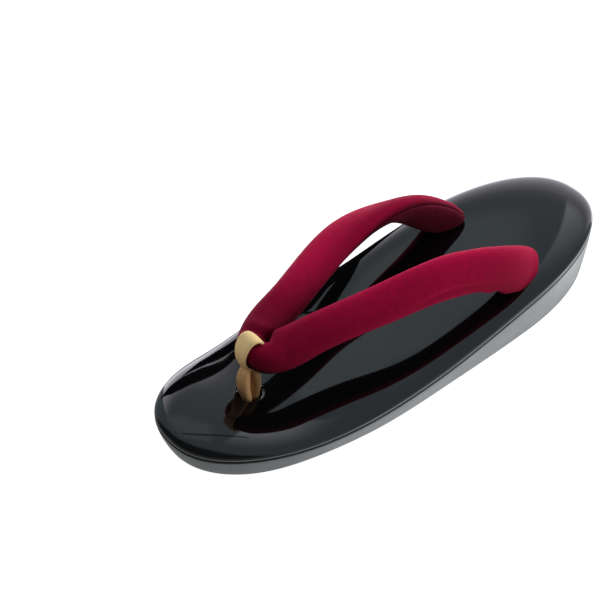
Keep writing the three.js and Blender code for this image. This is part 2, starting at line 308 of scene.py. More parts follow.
# Surround, with turns and rises in degrees
SKY = {
    "dim": 0.1,
    "lit": 0.52,
    "lit_from": (-0.04, 0.22),
    "far_side": 0.6,
    "tint": (0.86, 1.0, 1.08, 1),
}
PATCH = {"turn": (129, 137, 165, 180), "rise": (43, 49, 60, 68), "glow": 0.26}
PANEL = {
    "turn": (70, 122),
    "turn_power": 1.8,
    "edge": (122, 123.2),
    "rise": (40, 66),
    "rise_power": 1.5,
    "glow": 1.6,
    "tint": (1.0, 0.98, 1.05, 1),
}

# Low soft lamps beside and behind the heel and a narrow one on the toe thong, in millimetres and
# degrees. None shows in the gloss, and their power is among the settings.
LAMPS = {
    "side_lamp": {"place": (640, 450, 200), "aim": (0, 0, 30), "size": 400, "spread": 180},
    "back_lamp": {"place": (-120, 450, 240), "aim": (0, 0, 30), "size": 300, "spread": 180},
    "toe_lamp": {"place": (-60, -300, 400), "aim": (-3, -78, 36), "size": 12, "spread": 4},
}

# Studio cards that show only in the gloss, in millimetres. The sheet's glow goes by shares of its
# height, and the flags that stand across X have rows of y, lower edge and upper edge.
GLOW_SHEET = {
    "centre": (-10.0, 50.0),
    "radius": 170.0,
    "height": 160.0,
    "from": 75.0,
    "to": 235.0,
    "sides": 72,
}
GLOW_TINT = (0.98, 0.97, 1.06)
GLOW_BY_HEIGHT = (
    (0.0, 4.6),
    (0.2, 4.4),
    (0.3, 3.1),
    (0.39, 2.4),
    (0.55, 1.95),
    (0.68, 1.4),
    (0.82, 0.85),
    (1.0, 0.62),
)
GLOW_FADE = (0.75, 1.0)
FLAG_BLACK = (0.002, 0.002, 0.002, 1)
LOW_FLAG_X = -55.0
LOW_FLAG = (
    (-80, 29.8, 30.2),
    (-68, 21, 28.6),
    (-60, 20, 28.6),
    (-53, 22, 30.4),
    (-48, 22, 32.2),
    (-44, 22, 37),
    (-30, 20, 44),
    (-7, 4, 45),
    (-2, 0, 41),
    (2, 0, 36),
    (7, 0, 34),
    (26, 0, 30),
    (50, 0, 24),
    (75, 0, 20),
)
ARCH_FLAG_X = -64.0
ARCH_FLAG = (
    (-105, 36, 37),
    (-85, 34.6, 50),
    (-72, 34, 51),
    (-56, 33.6, 48.5),
    (-46, 36.6, 46.8),
    (-37, 42, 45.4),
    (-15, 44, 46),
    (1, 59, 62),
    (12, 41, 72),
    (19, 32, 55),
    (26, 22, 31),
)
ROD_FLAG = {"ends": ((-72, -98, 150), (-36, 14, 150)), "width": 6.0, "darkness": 0.75}

# Camera of the photograph's angle
CAMERA_PLACE = (249.33, -251.13, 350.57)
CAMERA_AZIMUTH = 51.38
CAMERA_ELEVATION = 43.07
CAMERA_LENS = 65.0
CAMERA_NEAR = 10.0


class Value:
    """A socket of a node tree, so that shader maths reads as Python expressions."""

    def __init__(self, nodes, socket):
        self.nodes, self.socket = nodes, socket

    def __add__(self, other):
        return self.nodes.maths("ADD", self, other)

    def __sub__(self, other):
        return self.nodes.maths("SUBTRACT", self, other)

    def __rsub__(self, other):
        return self.nodes.maths("SUBTRACT", other, self)

    def __mul__(self, other):
        return self.nodes.maths("MULTIPLY", self, other)

    def __truediv__(self, other):
        return self.nodes.maths("DIVIDE", self, other)

    def __pow__(self, other):
        return self.nodes.maths("POWER", self, other)

    __radd__ = __add__
    __rmul__ = __mul__


class Nodes:
    """The node tree of a material or world."""

    def __init__(self, owner):
        owner.use_nodes = True
        self.owner, self.tree = owner, owner.node_tree
        self.tree.nodes.clear()

    def node(self, kind, settings=None, sockets=None, output=0):
        """Adds a node and gives one of its outputs, or the node itself where it has none."""
        made = self.tree.nodes.new(kind)
        for name, value in (settings or {}).items():
            if name == "stops":
                self.set_stops(made.color_ramp, value)
            else:
                setattr(made, name, value)
        for name, value in (sockets or {}).items():
            if isinstance(value, Value):
                self.tree.links.new(value.socket, made.inputs[name])
            else:
                made.inputs[name].default_value = value
        return Value(self, made.outputs[output]) if made.outputs else made

    @staticmethod
    def set_stops(ramp, stops):
        while len(ramp.elements) < len(stops):
            ramp.elements.new(0.5)
        for element, (place, colour) in zip(ramp.elements, stops):
            element.position, element.color = place, colour

    def maths(self, operation, *values):
        return self.node("ShaderNodeMath", {"operation": operation}, dict(enumerate(values)))

    def mixed(self, factor, first, second):
        """Colour between two colours."""
        settings = {"data_type": "RGBA"}
        return self.node("ShaderNodeMix", settings, {0: factor, 6: first, 7: second}, output=2)

    def mixed_shader(self, factor, first, second):
        return self.node("ShaderNodeMixShader", None, {0: factor, 1: first, 2: second})

    def ramp(self, factor, *stops):
        return self.node("ShaderNodeValToRGB", {"stops": stops}, {"Fac": factor})

    def parts(self, vector):
        """The x, y and z of a vector."""
        split = self.node("ShaderNodeSeparateXYZ", None, {"Vector": vector}).socket.node
        return [Value(self, socket) for socket in split.outputs]

    def millimetres(self, vector):
        """The x, y and z, in millimetres, of a vector in metres."""
        return [part / MM for part in self.parts(vector)]

    def span(self, value, low, high, shape="LINEAR"):
        """Straight rise from 0 below low to 1 above high."""
        sockets = {"Value": value, "From Min": low, "From Max": high}
        return self.node("ShaderNodeMapRange", {"interpolation_type": shape}, sockets)

    def step(self, value, low, high):
        """Soft step from 0 below low to 1 above high."""
        return self.span(value, low, high, "SMOOTHSTEP")

    def plateau(self, value, low, full, fall, gone):
        """Soft step up from low to full, and down again from fall to gone."""
        return self.step(value, low, full) * (1 - self.step(value, fall, gone))

    @staticmethod
    def between(share, start, end):
        """Value that goes from start to end while the share goes from 0 to 1."""
        return start + (end - start) * share

    def waves(self, place, pitch):
        """Even waves between 0 and 1."""
        return self.maths("SINE", place * (2 * math.pi / pitch)) * 0.5 + 0.5

    def noise(self, places, scale, detail):
        sockets = {"Vector": places, "Scale": scale, "Detail": detail}
        return self.node("ShaderNodeTexNoise", None, sockets)

    def uv_places(self, name):
        return self.node("ShaderNodeUVMap", {"uv_map": name})

    def object_places(self):
        return self.node("ShaderNodeTexCoord", output="Object")

    def stretched(self, places, *scale):
        return self.node("ShaderNodeMapping", None, {"Vector": places, "Scale": scale})

    def bump(self, height, distance):
        """Bumps of a height map. The distance is in millimetres."""
        return self.node("ShaderNodeBump", None, {"Height": height, "Distance": distance * MM})

    def surface(self, **sockets):
        """Material with a principled surface. Socket names are written with underscores."""
        named = {name.replace("_", " "): value for name, value in sockets.items()}
        return self.material(self.node("ShaderNodeBsdfPrincipled", None, named))

    def material(self, shader):
        self.node("ShaderNodeOutputMaterial", None, {"Surface": shader})
        return self.owner


def material_nodes(name):
    return Nodes(bpy.data.materials.new(name))


def tone(colour, share=1.0):
    """Opaque colour, made darker or lighter by a share."""
    return (*[share * part for part in colour], 1)


# Shape of the last
def end_round(distance, reach, power):
    """Rounded end of the outline: 1 along the side, falling to 0 at the tip."""
    inside = np.clip(distance / reach, 0, 1)
    return (1 - (1 - inside) ** power) ** (1 / power)


def half_width(y):
    share = 0.5 + y / LENGTH
    return LAST.at("half_width", y) * end_round(share, *TOE_ROUND) * end_round(1 - share, *HEEL_ROUND)


def floor_height(y):
    rise = np.maximum(0, (SPRING_START_Y - y) / (SPRING_START_Y + HALF_LENGTH))
    return TOE_SPRING * rise**2


def outline_stations():
    """Places round the outline, up the +X side from toe to heel and back down the -X side."""
    angle = np.linspace(0, 2 * math.pi, OUTLINE_POINTS, endpoint=False)
    return -HALF_LENGTH * np.cos(angle), np.where(angle <= math.pi, 1, -1)


def last_ring(share, height):
    """One ring round the last: share 1 is the outline and 0 the middle line."""
    y, side = outline_stations()
    ring_y = y * (1 - (1 - share) * RING_REACH / HALF_LENGTH)
    return np.column_stack((side * half_width(y) * share, ring_y, height(ring_y, y)))


def inset_share(inset):
    return 1 - inset / RING_REACH


def dome_height(share, y):
    power = LAST.at("crown", y)
    rise = np.maximum(0.0, 1 - share**power) ** (1 / power)
    return LAST.at("seam", y) + LIP_HEIGHT + LAST.at("dome", y) * rise


def quarter_turn(count):
    return np.linspace(0, math.pi / 2, count)


def footbed_rings():
    """Rings from the middle line over the dome, round the lip and back under to the middle line."""
    shoulder = np.linspace(math.acos(FLAT_SHARE ** (DOME_POWER / 2)), 0, SHOULDER_RINGS)
    shares = [*np.linspace(0, FLAT_SHARE, FLAT_RINGS)[:-1], *(np.cos(shoulder) ** (2 / DOME_POWER))]
    rings = [last_ring(share, lambda ring_y, y, s=share: dome_height(s, ring_y)) for share in shares]
    for angle in quarter_turn(EDGE_RINGS)[1:]:
        inset = LIP_ROUND * (1 - math.cos(angle))
        drop = (LIP_HEIGHT - SEAM_GAP / 2) - LIP_ROUND * (1 - math.sin(angle))
        rings.append(last_ring(
            inset_share(inset), lambda ring_y, y, d=drop: LAST.at("seam", y) + LIP_HEIGHT - d
        ))
    for share in SEAM_SHARES:
        rings.append(last_ring(share, lambda ring_y, y: LAST.at("seam", ring_y) + SEAM_GAP / 2))
    return rings


def sole_rings():
    """Rings from the middle line under the footbed, over the top edge, down the wall and under."""
    def top(y):
        return LAST.at("seam", y) - SEAM_GAP / 2

    y, _ = outline_stations()
    inset_at_floor = LAST.at("floor_inset", y)
    rings = [last_ring(share, lambda ring_y, y: top(ring_y)) for share in reversed(SEAM_SHARES)]
    for angle in quarter_turn(EDGE_RINGS):
        inset = LIP_ROUND * (1 - math.sin(angle))
        drop = LIP_ROUND * (1 - math.cos(angle))
        rings.append(last_ring(inset_share(inset), lambda ring_y, y, d=drop: top(y) - d))
    for down in np.linspace(0, 1, WALL_RINGS)[1:]:
        bulge = WALL_BULGE * 4 * down * (1 - down)

        def wall_height(ring_y, y, down=down):
            high, low = top(y) - LIP_ROUND, floor_height(y) + FLOOR_EDGE_ROUND
            return high + (low - high) * down

        rings.append(last_ring(inset_share(inset_at_floor * down - bulge), wall_height))
    for angle in quarter_turn(EDGE_RINGS)[1:]:
        inset = inset_at_floor + FLOOR_EDGE_ROUND * (1 - math.cos(angle))
        lift = FLOOR_EDGE_ROUND * (1 - math.sin(angle))
        rings.append(last_ring(inset_share(inset), lambda ring_y, y, h=lift: floor_height(y) + h))
    for share in SEAM_SHARES:
        rings.append(last_ring(share, lambda ring_y, y: floor_height(ring_y)))
    return rings


def swept_rings(centres, overs, widths, thicks, sides, roundness, looped=False):
    """Rounded flat sections along a path. Over is each section's thin direction."""
    if looped:
        along = np.roll(centres, -1, axis=0) - np.roll(centres, 1, axis=0)
    else:
        along = np.gradient(centres, axis=0)
    along /= np.linalg.norm(along, axis=1)[:, None]
    thin = overs - along * np.sum(overs * along, axis=1)[:, None]
    thin /= np.linalg.norm(thin, axis=1)[:, None]
    across = np.cross(along, thin)
    angle = np.linspace(0, 2 * math.pi, sides, endpoint=False)
    wide = np.sign(np.cos(angle)) * np.abs(np.cos(angle)) ** (2 / roundness)
    tall = np.sign(np.sin(angle)) * np.abs(np.sin(angle)) ** (2 / roundness)
    return [
        centre + np.outer(wide * width, side_way) + np.outer(tall * thick, up_way)
        for centre, side_way, up_way, width, thick in zip(centres, across, thin, widths, thicks)
    ]


def path_lengths(places):
    """Length along a path up to each of its places."""
    return np.concatenate(([0], np.cumsum(np.linalg.norm(np.diff(places, axis=0), axis=1))))


def strap_rings(side):
    """Rings of one strap leg, with its creases and a groove along each seam of the lining."""
    at, row = Table(STRAP_COLUMNS, *STRAP_FRONT, *STRAP_REAR[side]).sampled(STRAP_STEPS)
    turn = np.radians(side * row["tilt"] + row["roll"])
    centres = np.column_stack((side * row["x"] + row["lean"], row["y"], row["z"]))
    overs = np.column_stack((np.sin(turn), np.zeros_like(turn), np.cos(turn)))
    rings = swept_rings(
        centres, overs, row["half_width"], row["half_thick"], STRAP_SIDES, STRAP_ROUNDNESS
    )
    along = path_lengths(centres)
    for number, ring in enumerate(rings):
        fullness = min(1.0, row["half_thick"][number] / SEAM_GROOVE["full_half_thick"])
        depth = seam_depth(along[number]) * fullness
        for crease in CREASES[side]:
            depth = depth + crease_depth(at[number], *crease)
        outwards = ring - centres[number]
        ring -= outwards * (depth / np.linalg.norm(outwards, axis=1))[:, None]
    return rings


def sides_from(side):
    """Sides of a strap ring counted from one side, the short way round."""
    half = STRAP_SIDES / 2
    return (np.arange(STRAP_SIDES) - side + half) % STRAP_SIDES - half


def seam_depth(along):
    """Groove along both seams, with the cloth puckered between the stitches beside it."""
    pucker = PUCKER["depth"] * (1 + math.cos(2 * math.pi * along / PUCKER["spacing"]))
    return sum(
        SEAM_GROOVE["depth"] * np.exp(-((sides_from(seam) / SEAM_GROOVE["sides"]) ** 2))
        + pucker * np.exp(-((sides_from(seam) / PUCKER["sides"]) ** 2))
        for seam in LINING_SIDES
    )


def crease_depth(at, row, side, half_rows, half_sides, depth, slant):
    """Soft trough of one crease round the ring at a place along the rows."""
    off_rows = at - row
    off_sides = sides_from(side + slant * off_rows)
    return depth * np.exp(-((off_rows / half_rows) ** 2) - (off_sides / half_sides) ** 2)


def loop_rings():
    """Rings round the thong's loop, wide at its top and narrow at its waist."""
    angle = np.linspace(0, 2 * math.pi, LOOP_STEPS, endpoint=False)
    depth, rise = np.cos(angle), np.sin(angle)
    zero = np.zeros_like(angle)
    round_centre = np.column_stack((zero, LOOP_HALF_DEPTH * depth, LOOP_HALF_HEIGHT * rise))
    centres = np.array(LOOP_CENTRE) + round_centre
    overs = np.column_stack((zero, depth / LOOP_HALF_DEPTH, rise / LOOP_HALF_HEIGHT))
    widths = LOOP_BAND["waist"] + (LOOP_BAND["top"] - LOOP_BAND["waist"]) * (1 + rise) / 2
    thicks = np.full_like(angle, LOOP_BAND["half_thick"])
    return swept_rings(centres, overs, widths, thicks, BAND_SIDES, BAND_ROUNDNESS, looped=True)


def strand_rings(table):
    at, row = table.sampled(STRAND_STEPS)
    centres = np.column_stack((row["x"], row["y"], row["z"]))
    overs = np.tile((0.0, 1.0, 0.0), (len(at), 1))
    return swept_rings(centres, overs, row["half_width"], row["half_thick"], BAND_SIDES, BAND_ROUNDNESS)


# Modelling steps
def deselect_all():
    if bpy.context.mode != "OBJECT":
        bpy.ops.object.mode_set(mode="OBJECT")
    bpy.ops.object.select_all(action="DESELECT")


def lofted(name, rings, looped=False):
    """Circle primitive extruded once for each ring, with each new ring moved to its places."""
    deselect_all()
    bpy.ops.mesh.primitive_circle_add(vertices=len(rings[0]), radius=MM)
    piece = bpy.context.object
    piece.name = piece.data.name = name
    bpy.ops.object.mode_set(mode="EDIT")
    bpy.ops.mesh.select_all(action="SELECT")
    mesh = bmesh.from_edit_mesh(piece.data)
    station = mesh.verts.layers.int.new("station")
    row = mesh.verts.layers.int.new("row")
    for number, point in enumerate(mesh.verts):
        point[station] = number
    for number, ring in enumerate(rings):
        if number:
            bpy.ops.mesh.extrude_edges_indiv()
            mesh = bmesh.from_edit_mesh(piece.data)
            station, row = mesh.verts.layers.int["station"], mesh.verts.layers.int["row"]
        for point in mesh.verts:
            if point.select:
                point.co = ring[point[station]] * MM
                point[row] = number
    if looped:
        for point in mesh.verts:
            point.select = point[row] in (0, len(rings) - 1)
        mesh.select_flush_mode()
        bpy.ops.mesh.bridge_edge_loops()
    bmesh.update_edit_mesh(piece.data)
    return piece


def close_ends():
    """Merges ends that fold onto a line and fills the others."""
    bpy.ops.mesh.select_all(action="SELECT")
    bpy.ops.mesh.remove_doubles(threshold=MERGE_GAP * MM)
    bpy.ops.mesh.select_all(action="DESELECT")
    bpy.ops.mesh.select_non_manifold(extend=False)
    bpy.ops.mesh.edge_face_add()
    face_outwards()


def face_outwards():
    bpy.ops.mesh.select_all(action="SELECT")
    bpy.ops.mesh.normals_make_consistent(inside=False)
    bpy.ops.mesh.select_all(action="DESELECT")


def apply_modifier(piece, kind, **settings):
    bpy.ops.object.modifier_add(type=kind)
    modifier = piece.modifiers[-1]
    for name, value in settings.items():
        setattr(modifier, name, value)
    bpy.ops.object.modifier_apply(modifier=modifier.name)


def lay_map(piece, name, count, first, coordinates):
    """UV map round the rings. Faces over the first station run on past the last one."""
    mesh = bmesh.from_edit_mesh(piece.data)
    station = mesh.verts.layers.int["station"]
    uv = mesh.loops.layers.uv.new(name)
    for face in mesh.faces:
        places = [(loop.vert[station] - first) % count for loop in face.loops]
        wraps = max(places) - min(places) > count / 2
        for loop, place in zip(face.loops, places):
            turned = place + count if wraps and place < count / 2 else place
            loop[uv].uv = coordinates(turned / count, loop.vert)
    bmesh.update_edit_mesh(piece.data)


def lay_cloth_map(piece, rings):
    """UV map: share of the turn round each ring from its bottom, and metres along the piece."""
    row = bmesh.from_edit_mesh(piece.data).verts.layers.int["row"]
    along = path_lengths(np.array([ring.mean(axis=0) for ring in rings])) * MM
    lay_map(piece, "cloth", STRAP_SIDES, BOTTOM_SIDE, lambda turn, point: (turn, along[point[row]]))


def lay_wall_map(piece, first_row=0):
    """UV map in metres: along the outline, and down from the seam. Rows before the first stay above."""
    mesh = bmesh.from_edit_mesh(piece.data)
    row = mesh.verts.layers.int["row"]
    seams = LAST.at("seam", np.array([point.co.y for point in mesh.verts]) / MM) * MM
    down = {}
    for point, seam in zip(mesh.verts, seams):
        down[point] = seam - point.co.z if point[row] >= first_row else ABOVE_LIP * MM
    girth = OUTLINE_GIRTH * MM
    lay_map(piece, "wall", OUTLINE_POINTS, 0, lambda turn, point: (turn * girth, down[point]))


def finished(piece, node, slot, *materials):
    """Smooth, finished piece that rides on the sandal in place of its node."""
    deselect_all()
    piece.select_set(True)
    bpy.context.view_layer.objects.active = piece
    bpy.ops.object.shade_smooth()
    for material in materials:
        piece.data.materials.append(material)
    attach(piece, BODY)
    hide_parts(node)


def sink_toe_hole(piece):
    """Opens the footbed at the toe hole and extrudes the opening into a soft rim and a well."""
    centre_y, wide, long = TOE_HOLE["y"], TOE_HOLE["half_width"], TOE_HOLE["half_length"]
    mesh = bmesh.from_edit_mesh(piece.data)
    for face in mesh.faces:
        middle = face.calc_center_median() / MM
        reach = math.hypot(middle.x / wide, (middle.y - centre_y) / long)
        face.select_set(reach < HOLE_OPENING and face.normal.z > TOP_FACE_RISE)
    bpy.ops.mesh.delete(type="FACE")
    bpy.ops.mesh.select_non_manifold(extend=False)
    for share, drop in HOLE_RIM:
        bpy.ops.mesh.extrude_edges_indiv()
        mesh = bmesh.from_edit_mesh(piece.data)
        for point in mesh.verts:
            if point.select:
                turn = math.atan2((point.co.y / MM - centre_y) / long, point.co.x / MM / wide)
                x, y = share * wide * math.cos(turn), centre_y + share * long * math.sin(turn)
                point.co = (x * MM, y * MM, (float(dome_height(0.0, y)) - drop) * MM)
    bpy.ops.mesh.edge_face_add()
    bmesh.update_edit_mesh(piece.data)
    bpy.ops.mesh.select_all(action="DESELECT")


# Finishes
def gloss_coat(colours):
    """Mirror-gloss black coat with a trace of waviness, and a painted highlight along the lip."""
    nodes = material_nodes("gloss_coat")
    waviness = nodes.noise(nodes.object_places(), *GRAIN["coat_waviness"])
    wall = nodes.uv_places("wall")
    highlight_breakup = nodes.noise(wall, *GRAIN["lip_highlight_breakup"])
    _, down, _ = nodes.millimetres(wall)
    # Painted highlight along the lip, broken up by noise
    lip = nodes.step(down, *LIP_HIGHLIGHT) * (0.55 + 0.9 * highlight_breakup)
    coat, highlight_grey = tone(colours.footbed_black), tone(colours.sole_grey, 0.7)
    return nodes.surface(
        Base_Color=nodes.mixed(lip, coat, highlight_grey),
        Roughness=0.05 + 0.2 * lip,
        IOR=1.5,
        Normal=nodes.bump(waviness, 0.12),
    )


def satin_wall(colours):
    """Satin wall with fine streaks along it, and painted shade in the groove under the footbed's lip.
    """
    nodes = material_nodes("satin_wall")
    places = nodes.uv_places("wall")
    streaks = nodes.noise(nodes.stretched(places, *STREAK_STRETCH), *GRAIN["wall_streaks"])
    clouds = nodes.noise(places, *GRAIN["wall_clouds"])
    _, down, _ = nodes.millimetres(places)
    dark, light = tone(colours.sole_grey, 0.5), tone(colours.sole_grey, 1.47)
    wall = nodes.mixed(streaks * 0.45 + clouds * 0.55, dark, light)
    # Painted shade: the groove is given the footbed's black
    groove = tone(colours.footbed_black)
    return nodes.surface(
        Base_Color=nodes.mixed(nodes.step(down, *GROOVE_SHADE_FADE), groove, wall),
        Roughness=0.32 + 0.12 * clouds + 0.08 * streaks,
        Specular_IOR_Level=0.4,
        Normal=nodes.bump(streaks, 0.07),
    )


def strap_painted_light(nodes, turn, along):
    """Painted light and shade of the strap: shaded at the toe, below, where the legs meet and at the
    near leg's rear, lit on its back and over the far leg's arch.
    """
    x, y, _ = nodes.millimetres(nodes.object_places())
    far_leg = 1 - nodes.step(x, *PAINTED_LIGHT_X["far_to_near"])
    near_leg = nodes.step(x, *PAINTED_LIGHT_X["near"])
    # Painted shade where the legs meet
    crotch_shade = far_leg * (1 - nodes.step(turn, *PAINTED_LIGHT_TURN["crotch_shade"])) * (1 - nodes.step(y, *CROTCH_SHADE_Y))
    far_arch_light = far_leg * nodes.plateau(along, *PAINTED_LIGHT_ALONG["far_arch_light"])
    near_rear_shade = near_leg * nodes.step(along, *PAINTED_LIGHT_ALONG["near_rear_shade"])
    return (
        nodes.between(nodes.step(along, *PAINTED_LIGHT_ALONG["toe"]), *PAINTED_LIGHT_LEVEL["toe"])
        * nodes.between(nodes.step(turn, *PAINTED_LIGHT_TURN["back"]), *PAINTED_LIGHT_LEVEL["back"])
        * nodes.between(crotch_shade, *PAINTED_LIGHT_LEVEL["crotch_shade"])
        * nodes.between(near_rear_shade, *PAINTED_LIGHT_LEVEL["near_rear_shade"])
        * nodes.between(far_arch_light, *PAINTED_LIGHT_LEVEL["far_arch_light"])
    )


def strap_cloth(colours):
    """Crimson twill: fine slanting ribs, soft mottling, fuzz at the edges, painted light and shade
    along the legs and painted shade on the lower side.
    """
    nodes = material_nodes("strap_cloth")
    places = nodes.uv_places("cloth")
    flat = nodes.stretched(places, STRAP_GIRTH * MM, 1.0, 1.0)
    turn, _, _ = nodes.parts(places)
    across, along, _ = nodes.millimetres(flat)
    ribs = nodes.waves(across + along, RIB_PITCH)
    threads = nodes.waves(across - along, THREAD_PITCH)
    mottle = nodes.noise(flat, *GRAIN["strap_mottle"])
    fine = nodes.noise(flat, *GRAIN["strap_fine"])
    shade = mottle * 0.6 + ribs * 0.05 + fine * 0.35
    dark, light = tone(colours.strap_red, 0.15), tone(colours.strap_red, 2.0)
    # Painted light and shade along the legs, mixed with the mottling
    painted_light_and_mottle = nodes.mixed(strap_painted_light(nodes, turn, along) * (0.28 + 0.4 * shade), dark, light)
    return nodes.surface(
        # Painted shade along the lower edge
        Base_Color=nodes.mixed(nodes.step(turn, *PAINTED_LIGHT_TURN["lower_edge"]), dark, painted_light_and_mottle),
        Roughness=0.85,
        Sheen_Weight=0.2,
        Sheen_Roughness=0.2,
        Sheen_Tint=tone(colours.strap_fuzz),
        Specular_IOR_Level=0.08,
        Normal=nodes.bump(ribs * 0.25 + threads * 0.2 + fine * 0.6 + mottle * 0.6, 0.1),
    )


def strap_lining(colours):
    """Dark red velvet under the strap, with a painted sheen that lightens it towards the rear ends."""
    nodes = material_nodes("strap_lining")
    _, along, _ = nodes.millimetres(nodes.uv_places("cloth"))
    # Painted sheen, lighter towards the rear ends
    painted_sheen = nodes.step(along, *LINING_SHEEN_ALONG)
    nap = nodes.noise(nodes.object_places(), *GRAIN["lining_nap"])
    clouds = nodes.noise(nodes.object_places(), *GRAIN["lining_clouds"])
    dark, light = tone(colours.lining_red, 0.2), tone(colours.lining_red, 1.9)
    return nodes.surface(
        Base_Color=nodes.mixed(painted_sheen * (0.4 + nap * 0.25 + clouds * 0.25), dark, light),
        Roughness=0.95,
        Sheen_Weight=0.06,
        Sheen_Roughness=0.5,
        Sheen_Tint=tone(colours.strap_fuzz),
        Specular_IOR_Level=0.05,
        Normal=nodes.bump(nap, 0.15),
    )


def thong_cloth(colours):
    """Soft cloth with a fine lengthwise rib, pale on the band and browner down the strands, with
    painted shade on the rear strand.
    """
    nodes = material_nodes("thong_cloth")
    places = nodes.object_places()
    ribs = nodes.noise(nodes.stretched(places, *THONG_RIB_STRETCH), *GRAIN["thong_ribs"])
    clouds = nodes.noise(places, *GRAIN["thong_clouds"])
    shade = ribs * 0.4 + clouds * 0.6
    _, y, z = nodes.millimetres(places)
    # Painted shade on the rear strand, under the strap
    rear = nodes.step(y, *REAR_STRAND_SHADE_Y)
    brown, beige = colours.thong_brown, colours.thong_beige
    strands = nodes.mixed(shade - 0.5 * rear, tone(brown, 0.4), tone(brown, 1.3))
    palest = tone([min(1.0, 1.15 * part) for part in beige])
    band = nodes.mixed(shade, tone(beige, 0.8), palest)
    return nodes.surface(
        Base_Color=nodes.mixed(nodes.step(z, *STRANDS_TO_BAND_Z), strands, band),
        Roughness=0.9,
        Sheen_Weight=0.1,
        Sheen_Roughness=0.25,
        Sheen_Tint=tone(colours.thong_fuzz),
        Specular_IOR_Level=0.1,
        Normal=nodes.bump(ribs * 0.6 + clouds * 0.4, 0.16),
    )


# Settings
def colour_setting(name, description, *default):
    return FloatVectorProperty(name=name, description=description, subtype="COLOR", default=default)


def level_setting(name, description, default, **settings):
    return FloatProperty(name=name, description=description, default=default, min=0.0, **settings)


class ZoriColours(bpy.types.PropertyGroup):
    """Colours of the sandal's finishes."""

    footbed_black: colour_setting("Footbed", "Gloss coat of the footbed", 0.003, 0.003, 0.0035)
    sole_grey: colour_setting("Sole", "Satin wall of the sole", 0.32, 0.33, 0.338)
    strap_red: colour_setting("Strap", "Crimson cloth of the strap", 0.32, 0.003, 0.033)
    strap_fuzz: colour_setting("Strap fuzz", "Fuzz on the strap's cloth", 0.9, 0.3, 0.45)
    lining_red: colour_setting("Lining", "Velvet under the strap", 0.095, 0.006, 0.016)
    thong_beige: colour_setting("Thong band", "Cloth of the thong's band", 1.0, 0.64, 0.3)
    thong_brown: colour_setting("Thong strands", "Cloth of the thong's strands", 0.85, 0.46, 0.2)
    thong_fuzz: colour_setting("Thong fuzz", "Fuzz on the thong's cloth", 1.0, 0.85, 0.7)


class ZoriStudio(bpy.types.PropertyGroup):
    """Light of the stage."""

    sky: level_setting("Surround", "Brightness of the studio's surround", 1.0)
    floor: level_setting("Floor", "Light that the pale floor adds", 0.95)
    bounce: level_setting("Bounce", "Light that the floor throws back up", 1.0)
    glow: level_setting("Glow sheet", "Brightness of the sheet behind the heel", 1.0)
    side_lamp: level_setting("Side lamp", "Power of the low light beside the heel", 1.0, unit="POWER")
    back_lamp: level_setting("Back lamp", "Power of the low light behind the heel", 1.4, unit="POWER")
    toe_lamp: level_setting("Toe lamp", "Power of the light on the thong", 0.00024, unit="POWER")


class ZORI_OT_sole(bpy.types.Operator):
    """Models the wedge sole"""

    bl_idname = "zori.sole"
    bl_label = "Sole"

    def execute(self, context):
        piece = lofted("wedge_sole", sole_rings())
        lay_wall_map(piece)
        close_ends()
        bpy.ops.object.mode_set(mode="OBJECT")
        finished(piece, "sole", "sole", satin_wall(context.scene.zori_colours))
        return {"FINISHED"}


class ZORI_OT_footbed(bpy.types.Operator):
    """Models the domed footbed with its toe hole"""

    bl_idname = "zori.footbed"
    bl_label = "Footbed"

    def execute(self, context):
        piece = lofted("gloss_footbed", footbed_rings())
        close_ends()
        sink_toe_hole(piece)
        lay_wall_map(piece, first_row=FLAT_RINGS)
        face_outwards()
        bpy.ops.object.mode_set(mode="OBJECT")
        apply_modifier(piece, "SUBSURF", levels=1, render_levels=1)
        finished(piece, "footbed", "footbed", gloss_coat(context.scene.zori_colours))
        return {"FINISHED"}


class ZORI_OT_strap(bpy.types.Operator):
    """Models the two padded legs of the strap"""

    bl_idname = "zori.strap"
    bl_label = "Strap"

    def execute(self, context):
        colours = context.scene.zori_colours
        cloth, lining = strap_cloth(colours), strap_lining(colours)
        for name, side in (("strap_near_leg", 1), ("strap_far_leg", -1)):
            rings = strap_rings(side)
            piece = lofted(name, rings)
            lay_cloth_map(piece, rings)
            close_ends()
            bpy.ops.object.mode_set(mode="OBJECT")
            finished(piece, "strap", "strap", cloth, lining)
            self.assign_lining(piece)
            apply_modifier(piece, "SUBSURF", levels=1, render_levels=1)
        return {"FINISHED"}

    @staticmethod
    def assign_lining(piece):
        bpy.ops.object.mode_set(mode="EDIT")
        mesh = bmesh.from_edit_mesh(piece.data)
        station = mesh.verts.layers.int["station"]
        low, high = LINING_SIDES
        for face in mesh.faces:
            face.select_set(all(low <= point[station] <= high for point in face.verts))
        piece.active_material_index = 1
        bpy.ops.object.material_slot_assign()
        bpy.ops.mesh.select_all(action="DESELECT")
        bpy.ops.object.mode_set(mode="OBJECT")


class ZORI_OT_toe_thong(bpy.types.Operator):
    """Models the cloth thong looped over the strap's joint"""

    bl_idname = "zori.toe_thong"
    bl_label = "Toe thong"

    def execute(self, context):
        band = lofted("thong_band", loop_rings(), looped=True)
        face_outwards()
        strands = []
        for name, table in (("front_strand", FRONT_STRAND), ("rear_strand", REAR_STRAND)):
            strands.append(lofted(name, strand_rings(table)))
            close_ends()
        deselect_all()
        for part in (*strands, band):
            part.select_set(True)
        context.view_layer.objects.active = band
        bpy.ops.object.join()
        apply_modifier(band, "REMESH", mode="VOXEL", voxel_size=THONG_VOXEL * MM)
        apply_modifier(band, "SMOOTH", **THONG_SMOOTH)
        finished(band, "toe_thong", "toe_thong", thong_cloth(context.scene.zori_colours))
        return {"FINISHED"}


